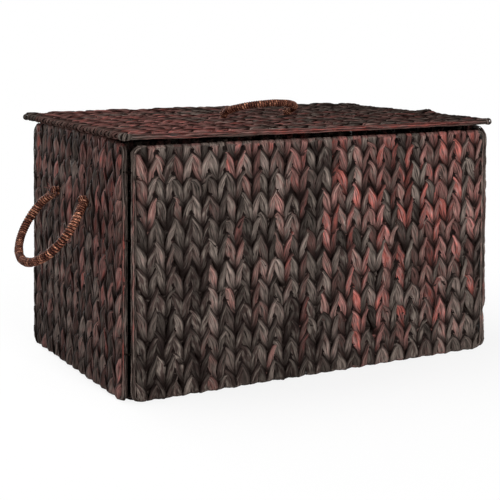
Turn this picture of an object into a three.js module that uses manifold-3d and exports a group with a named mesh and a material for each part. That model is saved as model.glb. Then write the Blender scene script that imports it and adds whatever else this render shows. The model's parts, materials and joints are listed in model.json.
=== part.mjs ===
// Woven storage box with a loose lid: six framed panels of twined water hyacinth,
// lashed together with cord, and three rope handles.
// Millimetres. The origin is on the floor under the middle of the box, X runs along
// the front, the front faces -Y and Z is up.

import * as THREE from 'three';
import { mergeVertices } from 'three/addons/utils/BufferGeometryUtils.js';
import Module from 'manifold-3d';

// Box
const boxWidth = 610;
const boxDepth = 380;
const wallHeight = 340;
const cornerSetback = 9; // from the box's corner to the end of each wall panel
const endWallCrown = 8.5; // rise of the end walls' top edge, which carries the lid

// Lid
const lidEndOverhang = 4; // past each end wall
const lidFrontOverhang = 13; // past the front and the back
const lidShift = -7; // the loose lid lies a little to the left
const lidCornerNotch = 15; // the weave stops short of the lid's wrapped corners

// Woven panels
const panelThickness = 9;
const panelCornerRadius = 12;
const edgeFlat = 0.6; // flat band left in the middle of the rounded edges
const rowPitch = 30.2; // from one row of the weave to the next
const baseGap = 0.6; // between the base and the walls around it

// Relief of the weave: single leaves on the front, rows of leaves on the back and the lid
const leafPairPitch = 26.5; // width of one V, which is two columns of leaves
const leafRise = 20; // from the foot of a V to its tips
const leafMargin = 9; // kept for the rods and the strips along them
const ridgeDepth = 0.2; // below the panel's face
const leafGrooveDepth = 2.4;
const rowGrooveDepth = 1.6;

// Wire frames
const rodDiameter = 4;
const wireDiameter = 2.4;
const rowsPerWire = 5;

// Lashings
const tieDiameter = 2;
const tieClearance = 0.5;
const cornerTieHeights = [65, 186, 307];
const baseTiesAlongFront = [-185, 0, 185];
const baseTiesAlongEnd = [-95, 95];

// Rope handles: each loop is part of an ellipse, cut by the line of its two holes
const endRope = { diameter: 11, halfWidth: 80, reach: 64.5, centre: 46, footRadius: 7.5 };
const endHandleHeight = 253;
const endHandleOffset = 2.5; // towards the back
const endHandleDroop = 54; // degrees below level
const lidRope = { diameter: 9.5, halfWidth: 57.5, reach: 48, centre: 12, footRadius: 6.5 };
const lidHandlePlace = { x: -10, y: -8 };
const lidHandleLean = 73; // degrees forward of upright
const knotDiameter = 25;
const knotLength = 20;

// Running and seating clearances
const fitGap = 0.3;
const footGap = 0.5;

// Smoothness
const cornerSteps = 3;
const crownSteps = 8;
const edgeSteps = 2;
const rodSides = 6;
const wireSides = 6;
const tieSides = 5;
const tieBendSteps = 3;
const wrapSides = 6;
const wrapSteps = 5;
const ropeSides = 8;
const ropeSteps = 26;
const holeSides = 8;
const knotSides = 8;
const knotSteps = 4;
const ballSides = 8;
const cutOverrun = 1;
const mergeTolerance = 1e-4;

const halfThickness = panelThickness / 2;
const rodRadius = rodDiameter / 2;
const tieRadius = tieDiameter / 2;
const tieBendRadius = rodRadius + fitGap + tieRadius;
const lidUnderside = wallHeight + endWallCrown + fitGap;
const lidTop = lidUnderside + panelThickness;
const lidWidth = boxWidth + 2 * lidEndOverhang;
const lidDepth = boxDepth + 2 * lidFrontOverhang;

const weaveFinish = { color: 0x3b322e, roughness: 0.85, metalness: 0 };
const wireFinish = { color: 0x4a4b4c, roughness: 0.45, metalness: 0.9 };
const tieFinish = { color: 0x5a4030, roughness: 0.9, metalness: 0 };
const ropeFinish = { color: 0x7d3f28, roughness: 0.8, metalness: 0 };

const wasm = await Module();
wasm.setup();

// A closed mesh as a solid that can be joined and cut.
function toSolid(geometry) {
  const bare = geometry.clone();
  bare.deleteAttribute('normal');
  bare.deleteAttribute('uv');
  const merged = mergeVertices(bare, mergeTolerance);
  return new wasm.Manifold(new wasm.Mesh({
    numProp: 3,
    vertProperties: new Float32Array(merged.attributes.position.array),
    triVerts: new Uint32Array(merged.index.array),
  }));
}

function toGeometry(solid) {
  const mesh = solid.getMesh();
  const geometry = new THREE.BufferGeometry();
  geometry.setAttribute('position', new THREE.BufferAttribute(mesh.vertProperties, 3));
  geometry.setIndex(new THREE.BufferAttribute(mesh.triVerts, 1));
  geometry.computeVertexNormals();
  return geometry;
}

function namedMesh(name, solid, finish) {
  const mesh = new THREE.Mesh(toGeometry(solid), new THREE.MeshStandardMaterial(finish));
  mesh.name = name;
  return mesh;
}

function joined(solids) {
  return solids.reduce((sum, solid) => sum.add(solid));
}

// Points of an arc in the XY plane, both ends included.
function arcPoints(centreX, centreY, radius, from, to, steps) {
  return Array.from({ length: steps + 1 }, (_, i) => {
    const angle = from + ((to - from) * i) / steps;
    return new THREE.Vector2(
      centreX + radius * Math.cos(angle),
      centreY + radius * Math.sin(angle),
    );
  });
}

function circleShape(radius, sides) {
  return new THREE.Shape(arcPoints(0, 0, radius, 0, 2 * Math.PI, sides).slice(0, -1));
}

// A panel's outline, anticlockwise and centred: rounded corners, and a top edge that
// rises by the crown in a flat arch, along a curve of the fourth degree.
function outlinePoints(width, length, radius, crown) {
  const x = width / 2 - radius;
  const y = length / 2 - radius;
  const quarter = Math.PI / 2;
  const crest = [];
  for (let i = 1; crown > 0 && i < crownSteps; i += 1) {
    const along = 1 - (2 * i) / crownSteps;
    crest.push(new THREE.Vector2(x * along, length / 2 + crown * (1 - along ** 4)));
  }
  return [
    ...arcPoints(x, -y, radius, -quarter, 0, cornerSteps),
    ...arcPoints(x, y, radius, 0, quarter, cornerSteps),
    ...crest,
    ...arcPoints(-x, y, radius, quarter, 2 * quarter, cornerSteps),
    ...arcPoints(-x, -y, radius, 2 * quarter, 3 * quarter, cornerSteps),
  ];
}

// A panel's outline with a square notch at each corner.
function notchedOutlinePoints(width, length, notch) {
  const corners = [[1, -1], [1, 1], [-1, 1], [-1, -1]];
  return corners.flatMap(([sx, sy], i) => {
    const shortOfEnd = [sx * (width / 2 - notch), sy * length / 2];
    const inner = [sx * (width / 2 - notch), sy * (length / 2 - notch)];
    const shortOfSide = [sx * width / 2, sy * (length / 2 - notch)];
    const run = [shortOfEnd, inner, shortOfSide];
    return (i % 2 === 0 ? run : run.reverse()).map(([x, y]) => new THREE.Vector2(x, y));
  });
}

// A round bar bent along a closed, anticlockwise path in the XY plane.
function closedBar(path, radius, sides) {
  const positions = [];
  const index = [];
  const count = path.length;
  path.forEach((point, i) => {
    const before = point.clone().sub(path.at(i - 1)).normalize();
    const after = path[(i + 1) % count].clone().sub(point).normalize();
    const out = new THREE.Vector2(before.y + after.y, -before.x - after.x).normalize();
    const mitre = 1 / (out.x * after.y - out.y * after.x);
    for (let j = 0; j < sides; j += 1) {
      const angle = (2 * Math.PI * j) / sides;
      const across = radius * mitre * Math.cos(angle);
      positions.push(point.x + across * out.x, point.y + across * out.y, radius * Math.sin(angle));
      const next = ((i + 1) % count) * sides;
      const turn = (j + 1) % sides;
      index.push(i * sides + j, next + j, next + turn);
      index.push(i * sides + j, next + turn, i * sides + turn);
    }
  });
  const geometry = new THREE.BufferGeometry();
  geometry.setAttribute('position', new THREE.Float32BufferAttribute(positions, 3));
  geometry.setIndex(index);
  return toSolid(geometry);
}

function block(width, length, depth, x, y) {
  return toSolid(new THREE.BoxGeometry(width, length, depth).translate(x, y, 0));
}

// Places of the weave's rows along a panel, from rod to rod, measured from its middle.
function rowPlaces(length) {
  const span = length - panelThickness;
  const rows = Math.round(span / rowPitch);
  return Array.from({ length: rows + 1 }, (_, i) => -span / 2 + (span * i) / rows);
}

// The rows that have a cross wire, clear of the rope's holes.
function wirePlaces(length, holes) {
  const reach = (wireDiameter + rodDiameter) / 2;
  return rowPlaces(length)
    .filter((place, i, rows) => i % rowsPerWire === 1 && i < rows.length - 1)
    .filter((place) => holes.every((hole) => Math.abs(place - hole.y) > hole.radius + reach));
}

// The row without a wire that lies nearest to a wished place.
function nearestFreeRow(length, wish) {
  const free = rowPlaces(length).filter((_, i) => i > 0 && i % rowsPerWire !== 1);
  return free.reduce((best, row) => (Math.abs(row - wish) < Math.abs(best - wish) ? row : best));
}

// A welded frame: one rod bent round the panel's edge, and straight wires across it.
function wireFrame(panel, growth) {
  const width = panel.width - panelThickness;
  const length = panel.length - panelThickness;
  const bend = panelCornerRadius - halfThickness;
  const loop = outlinePoints(width, length, bend, panel.crown);
  const wireRadius = wireDiameter / 2 + growth;
  const wires = wirePlaces(panel.length, panel.holes).map((place) => toSolid(
    new THREE.CylinderGeometry(wireRadius, wireRadius, width, wireSides)
      .rotateZ(Math.PI / 2)
      .translate(0, place, 0),
  ));
  return joined([closedBar(loop, rodRadius + growth, rodSides), ...wires]);
}

// The space between and above the leaves of a mat: a slab whose underside is folded, with a
// ridge along the middle of each row and a groove on each side of it. Where single leaves
// stand out, the folds go up and down from column to column in V shapes.
function leafRelief(panel) {
  const width = panel.width - 2 * leafMargin;
  const single = panel.relief === 'leaves';
  const columns = single ? 2 * Math.round(width / leafPairPitch) : 1;
  const rise = single ? leafRise : 0;
  const grooveDepth = single ? leafGrooveDepth : rowGrooveDepth;
  const rows = rowPlaces(panel.length);
  const foldPitch = (rows[1] - rows[0]) / 2;
  const folds = 2 * rows.length + 2;
  const slab = new THREE.BoxGeometry(width, folds * foldPitch, panelThickness, columns, folds, 1);
  const spots = slab.attributes.position;
  for (let i = 0; i < spots.count; i += 1) {
    const column = Math.round((spots.getX(i) / width + 0.5) * columns);
    const fold = Math.round(spots.getY(i) / foldPitch + folds / 2);
    const lift = column % 2 === 0 ? rise / 2 : -rise / 2;
    const drop = fold % 2 === 0 ? ridgeDepth : grooveDepth;
    spots.setY(i, spots.getY(i) + lift);
    spots.setZ(i, halfThickness + (spots.getZ(i) < 0 ? -drop : cutOverrun));
  }
  const field = block(panel.width, panel.length - 2 * leafMargin, 2 * panelThickness, 0, 0);
  return toSolid(slab).intersect(field);
}

// The woven mat: a plate with rounded edges, twined round the frame, with slots where
// the lashings go round the rod and holes for the rope.
function wovenMat(panel) {
  const outline = panel.cornerNotch > 0
    ? notchedOutlinePoints(panel.width, panel.length, panel.cornerNotch)
    : outlinePoints(panel.width, panel.length, panelCornerRadius, panel.crown);
  const round = (panelThickness - edgeFlat) / 2;
  const plate = new THREE.ExtrudeGeometry(new THREE.Shape(outline), {
    depth: edgeFlat,
    steps: 1,
    bevelThickness: round,
    bevelSize: round,
    bevelOffset: -round,
    bevelSegments: edgeSteps,
  }).translate(0, 0, -edgeFlat / 2);
  const slotWidth = tieDiameter + 2 * tieClearance;
  const slotDepth = halfThickness + tieBendRadius + tieRadius + tieClearance;
  const through = panelThickness + 2 * cutOverrun;
  const reach = slotDepth + cutOverrun;
  const cuts = [wireFrame(panel, fitGap)];
  for (const { side, y } of panel.sideTies) {
    const x = side * (panel.width / 2 - slotDepth + reach / 2);
    cuts.push(block(reach, slotWidth, through, x, y));
  }
  for (const { end, x } of panel.endTies) {
    const y = end * (panel.length / 2 - slotDepth + reach / 2);
    cuts.push(block(slotWidth, reach, through, x, y));
  }
  for (const { x, y, radius } of panel.holes) {
    cuts.push(toSolid(
      new THREE.CylinderGeometry(radius, radius, through, holeSides)
        .rotateX(Math.PI / 2)
        .translate(x, y, 0),
    ));
  }
  if (panel.relief !== 'none') {
    cuts.push(leafRelief(panel));
  }
  return cuts.reduce((mat, cut) => mat.subtract(cut), toSolid(plate));
}

// A panel lies in its group's XY plane with its strands along Y and its outer face up.
function panelGroup(name, size) {
  const plain = { crown: 0, cornerNotch: 0, sideTies: [], endTies: [], holes: [], relief: 'none' };
  const panel = { ...plain, ...size };
  const group = new THREE.Group();
  group.add(namedMesh(`${name}_weave`, wovenMat(panel), weaveFinish));
  group.add(namedMesh(`${name}_wire_frame`, wireFrame(panel, 0), wireFinish));
  return group;
}

// The leaf wrapped round a bare corner of the lid's rod: a hollow bend.
function cornerWrap(width, length) {
  const inset = halfThickness;
  const run = lidCornerNotch - fitGap;
  const path = [
    new THREE.Vector2(width / 2 - inset, length / 2 - run),
    ...arcPoints(
      width / 2 - panelCornerRadius,
      length / 2 - panelCornerRadius,
      panelCornerRadius - inset,
      0,
      Math.PI / 2,
      cornerSteps,
    ),
    new THREE.Vector2(width / 2 - run, length / 2 - inset),
  ].map((point) => new THREE.Vector3(point.x, point.y, 0));
  const straightOn = (from, to) => to.clone().sub(from).setLength(cutOverrun).add(to);
  const boreEnds = [straightOn(path[1], path[0]), straightOn(path.at(-2), path.at(-1))];
  const sleeve = (points, radius) => {
    const bend = new THREE.CatmullRomCurve3(points);
    const options = { steps: wrapSteps, bevelEnabled: false, extrudePath: bend };
    return toSolid(new THREE.ExtrudeGeometry(circleShape(radius, wrapSides), options));
  };
  const bore = [boreEnds[0], ...path, boreEnds[1]];
  return sleeve(path, halfThickness).subtract(sleeve(bore, rodRadius + 2 * fitGap));
}

// Distance from the middle of a loop to each of its feet.
function footSpacing(rope) {
  return rope.halfWidth * Math.sqrt(1 - (rope.centre / rope.reach) ** 2);
}

// The middle of the rope, along X between its feet and out along Y.
class RopeLoop extends THREE.Curve {
  constructor(rope) {
    super();
    this.rope = rope;
    this.start = -Math.asin(rope.centre / rope.reach);
  }

  getPoint(t, target = new THREE.Vector3()) {
    const angle = this.start + (Math.PI - 2 * this.start) * t;
    const x = this.rope.halfWidth * Math.cos(angle);
    const y = this.rope.centre + this.rope.reach * Math.sin(angle);
    return target.set(x, y, 0);
  }
}

// The part of a rope that swings: the loop, with a whipped ball at each foot.
function ropeLoop(rope) {
  const loop = toSolid(new THREE.ExtrudeGeometry(circleShape(rope.diameter / 2, ropeSides), {
    steps: ropeSteps,
    bevelEnabled: false,
    extrudePath: new RopeLoop(rope),
  }));
  const feet = [-1, 1].map((side) => toSolid(
    new THREE.SphereGeometry(rope.footRadius, ballSides, ballSides / 2)
      .translate(side * footSpacing(rope), 0, 0),
  ));
  return joined([loop, ...feet]);
}

// The part of a rope that stays in the panel: a stub through the hole and the stopper
// knot behind it, turned about Y, which points inwards from the panel's outer face.
function ropeKnot(rope) {
  const radius = rope.diameter / 2;
  const bulge = knotDiameter / 2;
  const from = -Math.acos(radius / bulge);
  const seat = panelThickness + fitGap;
  const middle = seat - (knotLength / 2) * Math.sin(from);
  const stubEnd = fitGap - footGap;
  const profile = [new THREE.Vector2(0, stubEnd), new THREE.Vector2(radius, stubEnd)];
  for (let i = 0; i < knotSteps; i += 1) {
    const angle = from + ((Math.PI / 2 - from) * i) / knotSteps;
    const out = bulge * Math.cos(angle);
    profile.push(new THREE.Vector2(out, middle + (knotLength / 2) * Math.sin(angle)));
  }
  profile.push(new THREE.Vector2(0, middle + knotLength / 2));
  return toSolid(new THREE.LatheGeometry(profile, knotSides));
}

// A lashing round two rods that lie side by side, in its own XY plane.
function lashing(spacing) {
  const quarter = Math.PI / 2;
  return closedBar([
    ...arcPoints(spacing / 2, 0, tieBendRadius, -quarter, quarter, tieBendSteps),
    ...arcPoints(-spacing / 2, 0, tieBendRadius, quarter, 3 * quarter, tieBendSteps),
  ], tieRadius, tieSides);
}

// Turns an object so that its X and Y lie along two given directions.
function aim(object, alongX, alongY) {
  const alongZ = new THREE.Vector3().crossVectors(alongX, alongY);
  object.setRotationFromMatrix(new THREE.Matrix4().makeBasis(alongX, alongY, alongZ));
}

const axisX = new THREE.Vector3(1, 0, 0);
const axisY = new THREE.Vector3(0, 1, 0);
const axisZ = new THREE.Vector3(0, 0, 1);
const box = new THREE.Group();

// Walls: the front and its three neighbours, going round by quarter turns.
const frontWidth = boxWidth - 2 * cornerSetback;
const endWidth = boxDepth - 2 * cornerSetback;
const wallMiddle = wallHeight / 2;
const tieHeights = cornerTieHeights.map((height) => nearestFreeRow(wallHeight, height - wallMiddle));
const sideTies = [-1, 1].flatMap((side) => tieHeights.map((y) => ({ side, y })));
const baseWidth = boxWidth - 2 * (panelThickness + baseGap);
const baseDepth = boxDepth - 2 * (panelThickness + baseGap);
const frontTies = baseTiesAlongFront.map((x) => -nearestFreeRow(baseWidth, -x));
const endFeet = [-1, 1].map((side) => endHandleOffset + side * footSpacing(endRope));
const endHole = endRope.diameter / 2 + fitGap;
const footRise = endHandleHeight - wallMiddle;

const long = { width: frontWidth, out: boxDepth / 2 };
const end = { width: endWidth, out: boxWidth / 2, ties: baseTiesAlongEnd, relief: 'none' };
const walls = [
  { name: 'front', turn: 0, ...long, ties: frontTies, relief: 'leaves' },
  { name: 'right', turn: 1, ...end, along: 1 },
  { name: 'back', turn: 2, ...long, ties: frontTies.map((x) => -x), relief: 'rows' },
  { name: 'left', turn: 3, ...end, along: -1 },
];

for (const wall of walls) {
  const holes = wall.along
    ? endFeet.map((foot) => ({ x: wall.along * foot, y: footRise, radius: endHole }))
    : [];
  const panel = panelGroup(wall.name, {
    width: wall.width,
    length: wallHeight,
    crown: wall.along ? endWallCrown : 0,
    relief: wall.relief,
    sideTies,
    endTies: wall.ties.map((x) => ({ end: -1, x })),
    holes,
  });
  panel.position.set(0, halfThickness - wall.out, wallMiddle);
  panel.rotation.x = Math.PI / 2;
  const turned = new THREE.Group();
  turned.rotation.z = (wall.turn * Math.PI) / 2;
  turned.add(panel);
  box.add(turned);
}

// Base: it lies between the walls on the floor, with its strands along X.
const base = panelGroup('base', {
  width: baseDepth,
  length: baseWidth,
  sideTies: [-1, 1].flatMap((side) => frontTies.map((x) => ({ side, y: -x }))),
  endTies: [-1, 1].flatMap((end) => baseTiesAlongEnd.map((x) => ({ end, x }))),
});
base.position.z = halfThickness;
base.rotation.z = Math.PI / 2;
box.add(base);

// Corner lashings: each holds the side rods of two neighbouring walls.
const rodInset = cornerSetback + halfThickness;
const heightNames = ['low', 'middle', 'high'];
for (const [depthName, sy] of [['front', -1], ['back', 1]]) {
  for (const [widthName, sx] of [['left', -1], ['right', 1]]) {
    const corner = new THREE.Vector3((sx * boxWidth) / 2, (sy * boxDepth) / 2, 0);
    const longRod = corner.clone().sub(new THREE.Vector3(sx * rodInset, sy * halfThickness, 0));
    const endRod = corner.clone().sub(new THREE.Vector3(sx * halfThickness, sy * rodInset, 0));
    const across = endRod.clone().sub(longRod);
    const middle = longRod.clone().add(endRod).divideScalar(2);
    const along = across.clone().normalize();
    tieHeights.forEach((height, i) => {
      const name = `${depthName}_${widthName}_tie_${heightNames[i]}`;
      const tie = namedMesh(name, lashing(across.length()), tieFinish);
      aim(tie, along, new THREE.Vector3().crossVectors(axisZ, along));
      tie.position.copy(middle).setZ(wallMiddle + height);
      box.add(tie);
    });
  }
}

// Base lashings: each holds a rod of the base to the bottom rod of a wall.
const baseTieSpan = panelThickness + baseGap;
const baseTieInset = (panelThickness + baseTieSpan) / 2;
const frontNames = ['left', 'middle', 'right'];
for (const [name, sy] of [['front', -1], ['back', 1]]) {
  frontTies.forEach((x, i) => {
    const tie = namedMesh(`base_${name}_tie_${frontNames[i]}`, lashing(baseTieSpan), tieFinish);
    aim(tie, axisY, axisZ);
    tie.position.set(x, sy * (boxDepth / 2 - baseTieInset), halfThickness);
    box.add(tie);
  });
}
const endNames = ['front', 'back'];
for (const [name, sx] of [['left', -1], ['right', 1]]) {
  baseTiesAlongEnd.forEach((y, i) => {
    const tie = namedMesh(`base_${name}_tie_${endNames[i]}`, lashing(baseTieSpan), tieFinish);
    aim(tie, axisX, axisZ);
    tie.position.set(sx * (boxWidth / 2 - baseTieInset), y, halfThickness);
    box.add(tie);
  });
}

// End handles: the loops droop outside the end walls, the knots sit inside.
const droop = THREE.MathUtils.degToRad(endHandleDroop);
for (const [name, sx] of [['left', -1], ['right', 1]]) {
  const outward = new THREE.Vector3(sx * Math.cos(droop), 0, -Math.sin(droop));
  const loop = namedMesh(`${name}_handle_rope`, ropeLoop(endRope), ropeFinish);
  aim(loop, axisY, outward);
  const pivot = boxWidth / 2 + endRope.footRadius + footGap;
  loop.position.set(sx * pivot, endHandleOffset, endHandleHeight);
  box.add(loop);
  endFeet.forEach((y, i) => {
    const knot = namedMesh(`${name}_handle_knot_${endNames[i]}`, ropeKnot(endRope), ropeFinish);
    aim(knot, axisY, new THREE.Vector3(-sx, 0, 0));
    knot.position.set((sx * boxWidth) / 2, y, endHandleHeight);
    box.add(knot);
  });
}

// Lid: it lies loose on the end walls' crowns, with its strands along X.
const lidHole = lidRope.diameter / 2 + fitGap;
const lidFeet = [-1, 1].map((side) => lidHandlePlace.x + side * footSpacing(lidRope));
const lid = panelGroup('lid', {
  width: lidDepth,
  length: lidWidth,
  cornerNotch: lidCornerNotch,
  relief: 'rows',
  holes: lidFeet.map((x) => ({ x: lidHandlePlace.y, y: lidShift - x, radius: lidHole })),
});
lid.position.set(lidShift, 0, lidUnderside + halfThickness);
lid.rotation.z = Math.PI / 2;
const lidCorners = [['front', 'left'], ['back', 'left'], ['back', 'right'], ['front', 'right']];
const lidSides = { front: -1, back: 1, left: 1, right: -1 };
for (const [depthName, widthName] of lidCorners) {
  const sx = lidSides[depthName];
  const sy = lidSides[widthName];
  const swap = sx * sy < 0;
  const size = swap ? [lidWidth, lidDepth] : [lidDepth, lidWidth];
  const wrap = namedMesh(`lid_wrap_${depthName}_${widthName}`, cornerWrap(...size), weaveFinish);
  wrap.rotation.z = Math.atan2(sy, sx) - Math.PI / 4;
  lid.add(wrap);
}
box.add(lid);

const lean = THREE.MathUtils.degToRad(lidHandleLean);
const lidLoop = namedMesh('lid_handle_rope', ropeLoop(lidRope), ropeFinish);
aim(lidLoop, axisX, new THREE.Vector3(0, -Math.sin(lean), Math.cos(lean)));
lidLoop.position.set(lidHandlePlace.x, lidHandlePlace.y, lidTop + lidRope.footRadius + footGap);
box.add(lidLoop);
lidFeet.forEach((x, i) => {
  const knot = namedMesh(`lid_handle_knot_${['left', 'right'][i]}`, ropeKnot(lidRope), ropeFinish);
  aim(knot, axisX, axisZ.clone().negate());
  knot.position.set(x, lidHandlePlace.y, lidTop);
  box.add(knot);
});

export default box;
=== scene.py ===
"""Dresses the woven storage box: twined leaf panels, edge strips, rope handles and lashings."""

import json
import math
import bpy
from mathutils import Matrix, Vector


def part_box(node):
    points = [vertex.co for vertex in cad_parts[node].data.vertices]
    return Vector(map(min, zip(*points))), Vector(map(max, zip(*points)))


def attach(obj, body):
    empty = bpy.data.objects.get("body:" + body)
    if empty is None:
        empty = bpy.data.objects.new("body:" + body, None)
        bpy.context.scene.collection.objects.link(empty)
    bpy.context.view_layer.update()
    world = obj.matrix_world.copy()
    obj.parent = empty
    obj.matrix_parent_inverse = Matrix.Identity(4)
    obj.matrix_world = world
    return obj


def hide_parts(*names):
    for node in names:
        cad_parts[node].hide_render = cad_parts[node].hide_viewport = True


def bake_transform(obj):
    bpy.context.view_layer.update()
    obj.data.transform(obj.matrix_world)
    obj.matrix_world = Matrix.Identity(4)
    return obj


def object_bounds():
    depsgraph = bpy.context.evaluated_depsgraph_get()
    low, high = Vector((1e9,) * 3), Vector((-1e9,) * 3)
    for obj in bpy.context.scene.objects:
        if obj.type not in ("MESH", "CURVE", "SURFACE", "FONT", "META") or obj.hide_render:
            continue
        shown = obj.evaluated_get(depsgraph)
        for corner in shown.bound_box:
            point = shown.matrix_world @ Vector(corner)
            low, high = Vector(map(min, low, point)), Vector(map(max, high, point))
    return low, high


bl_info = {
    "name": "Woven storage box",
    "version": (1, 0, 0),
    "blender": (4, 5, 0),
    "location": "View3D > Sidebar > Woven box",
    "description": "Twined leaf panels, rope handles and lashings for a lidded storage box",
    "category": "Object",
}

from types import SimpleNamespace

import bpy
import numpy as np

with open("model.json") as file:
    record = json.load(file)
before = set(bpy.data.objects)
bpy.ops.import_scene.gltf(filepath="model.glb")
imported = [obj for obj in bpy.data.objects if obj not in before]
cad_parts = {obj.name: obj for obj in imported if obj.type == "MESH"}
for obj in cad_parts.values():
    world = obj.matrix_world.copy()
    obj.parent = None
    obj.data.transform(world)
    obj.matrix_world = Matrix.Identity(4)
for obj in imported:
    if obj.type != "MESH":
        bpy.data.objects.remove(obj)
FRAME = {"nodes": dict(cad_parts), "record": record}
CAD_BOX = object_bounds()

WALLS = ("front", "right", "back", "left")
PANELS = WALLS + ("base", "lid")

# Each corner's lashings go from one wall's rod to the other's, this way in the shared frame.
CORNER_TIES = {
    "front_left": (-1, 1, 0),
    "front_right": (1, 1, 0),
    "back_left": (-1, -1, 0),
    "back_right": (1, -1, 0),
}
BASE_TIES = {
    "base_front": ((0, 1, 0), ("left", "middle", "right")),
    "base_back": ((0, 1, 0), ("left", "middle", "right")),
    "base_left": ((1, 0, 0), ("front", "back")),
    "base_right": ((1, 0, 0), ("front", "back")),
}
TIE_HEIGHTS = ("low", "middle", "high")

# How far a lashing's solid reaches past the middle of each rod.
TIE_REACH = 0.0043

# Directions of each panel's width, strands and outer face in the shared frame.
PANEL_AXES = {
    "front": ((1, 0, 0), (0, 0, 1), (0, -1, 0)),
    "right": ((0, 1, 0), (0, 0, 1), (1, 0, 0)),
    "back": ((-1, 0, 0), (0, 0, 1), (0, 1, 0)),
    "left": ((0, -1, 0), (0, 0, 1), (-1, 0, 0)),
    "base": ((0, 1, 0), (-1, 0, 0), (0, 0, 1)),
    "lid": ((0, 1, 0), (-1, 0, 0), (0, 0, 1)),
}

# How much redder the leaves get towards each panel's right and top, and how red they are in all.
REDNESS = {
    "front": (1.2, 1.7, -0.20),
    "right": (0.0, 0.6, 0.0),
    "back": (0.3, 0.6, 0.0),
    "left": (0.9, 0.9, -0.25),
    "base": (0.0, 0.0, -0.2),
    "lid": (-0.8, 2.2, 0.45),
}

# How closely each panel is packed: this widens its leaves and thickens their tucks.
TIGHT = {"front": 1.3, "right": 1.7, "back": 1.7, "left": 1.2, "base": 1.5, "lid": 1.4}
TIGHT_WIDTH = 0.25
WALL_TUCK_GROWTH = 2.2
FLAT_TUCK_GROWTH = 1.5

# Stations on each leaf and on each turn over an end rod, and sides of leaves, strips and frayed ends.
LEAF_STEPS = 10
END_STEPS = 5
LEAF_SIDES = 8
STRIP_SIDES = 6
FRAY_SIDES = 5

# Form of a leaf: how far its highest part lags, scale and crease of its swing, peak of its fullness,
# and how its face rolls towards the tip and on the walls.
LEAF_LAG = 0.30
WAVE_PEAK = 0.917
WAVE_CREASE = 0.09
SWELL_PEAK = 1.057
TIP_ROLL = 0.40
WALL_ROLL = 0.35

# How unevenly the leaves lie: columns, rows and single leaves in metres, the rest as shares.
COLUMN_DRIFT = 0.0006
ROW_DRIFT = 0.0018
LEAF_DRIFT = 0.0011
LEAF_SLIP = 0.0030
SWING_RANGE = (0.6, 1.35)
LIFT_RANGE = (-0.25, 0.50)
WIDTH_SPREAD = 0.11
WIDTH_RANGE = (-0.12, 0.25)

# Leaves lie calm over one part in this many at a panel's ends. Inside the panel they are wider by the
# gain less the loss, and narrower by the loss at its ends.
EDGE_CALM = 14
INNER_GAIN = 0.95
INNER_LOSS = 0.45

# Leaves end this share of the margin from the panel's sides, and clear its underside by this share.
SIDE_SHARE = 0.7
UNDER_SHARE = 1.1

# The lid's leaves lie flatter, its end hooks are narrower, thinner and sunk, and its back columns
# stand up.
LID_RELIEF = 0.92
HOOK_NARROWS = 0.32
HOOK_THINS = 0.35
HOOK_SINKS = 0.27
BACK_COLUMNS = 3
BACK_RISE = 1.5

# The lid's weave and its edge strips stop this far short of the wrapped corners.
LID_NOTCH = 0.015

# A fold in the lid's right end: its place across, its height, and how far it reaches.
FOLD_PLACE = -0.045
FOLD_RISE = 0.0065
FOLD_REACH = 0.017

# Redness of a leaf: shares of its column's noise and of its own, and how sharply they part.
COLUMN_SHARE = 0.72
LEAF_SHARE = 0.69
TONE_SLOPE = 0.8

# The front's redness is scaled by the first, plus the second towards its right, up to the third.
FRONT_TONE = (0.94, 0.45, 0.98)

# Lowest redness of these panels' leaves, and how much it varies.
TONE_RANGE = {"left": (0.36, 0.52), "lid": (0.14, 0.76)}

# Lightness of the lid's leaves: lowest, how much it varies, and its rise towards the left end.
# This is painted light: the lid's top gets a lightness of its own for the light that falls on it,
# and its left end is painted lighter, as if more light fell there.
LID_LIGHTNESS_AND_PAINTED_LIGHT = (0.25, 0.42, 0.45)
NEAR_END_SHADE = 0.85
END_SHADE = 0.45
END_TONE = (0.3, 0.35)

# The leaves at the back of the lid's left end are grey this far from the corner.
GREY_CORNER = 0.055
GREY_TONE = 0.18
GREY_SHADE = 0.4

# Inside the panel a strand changes from one leaf's colour to the next, from here and over this share.
CHANGE_FROM = 0.36
CHANGE_OVER = 0.28

# Strips along the side rods: angles round the rod in degrees, and sizes in metres.
STRIP_ANGLES = (-100, -52, 0, 52, 100)
STRIP_DISTANCE = 0.0032
STRIP_HALF_WIDTH = 0.0016
STRIP_HALF_THICKNESS = 0.0007
STRIP_RUN = 0.010
STRIP_STEPS = 130
LID_STRIP_STEPS = 170
ROD_BEND = 0.0075

# How unevenly the strips lie: angle in radians, distance in metres, width and redness as shares.
STRIP_TURN = 0.13
STRIP_DRIFT = 0.00028
STRIP_SWELL = 0.25
STRIP_TONE_DRIFT = 0.16

# How much further from the rod the strips on a panel's inner edge lie, where a corner would let light
# in, and how much wider some of the strips are there.
LOOSE_STRIPS = {"right": 0.0026, "back": 0.0026}
LOOSE_WIDTH = 1.8
WIDE_STRIPS = (0, 1, 2, 4)

# Redness of the strips round each side rod, left or front rod first, from the inside to the outside,
# and their lightness.
WALL_EDGE_TONES = ((0.2, 0.3, 0.36, 0.55, 0.32), (0.2, 0.3, 0.36, 0.3, 0.42))
EDGE_TONES = {
    "left": ((0.2, 0.3, 0.36, 0.55, 0.32), (0.0, 0.0, 0.0, 0.74, 0.12)),
    "lid": ((0.1, 0.72, 0.86, 0.92, 0.80), (0.1, 0.2, 0.35, 0.3, 0.5)),
}
STRIP_SHADE = (0.2, 1.0)
STRIP_SHADES = {"left": 0.45}

# Strips are no redder than this at the panel's ends, over this length.
END_STRIP_TONE = 0.3
END_STRIP_LENGTH = 0.05

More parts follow.
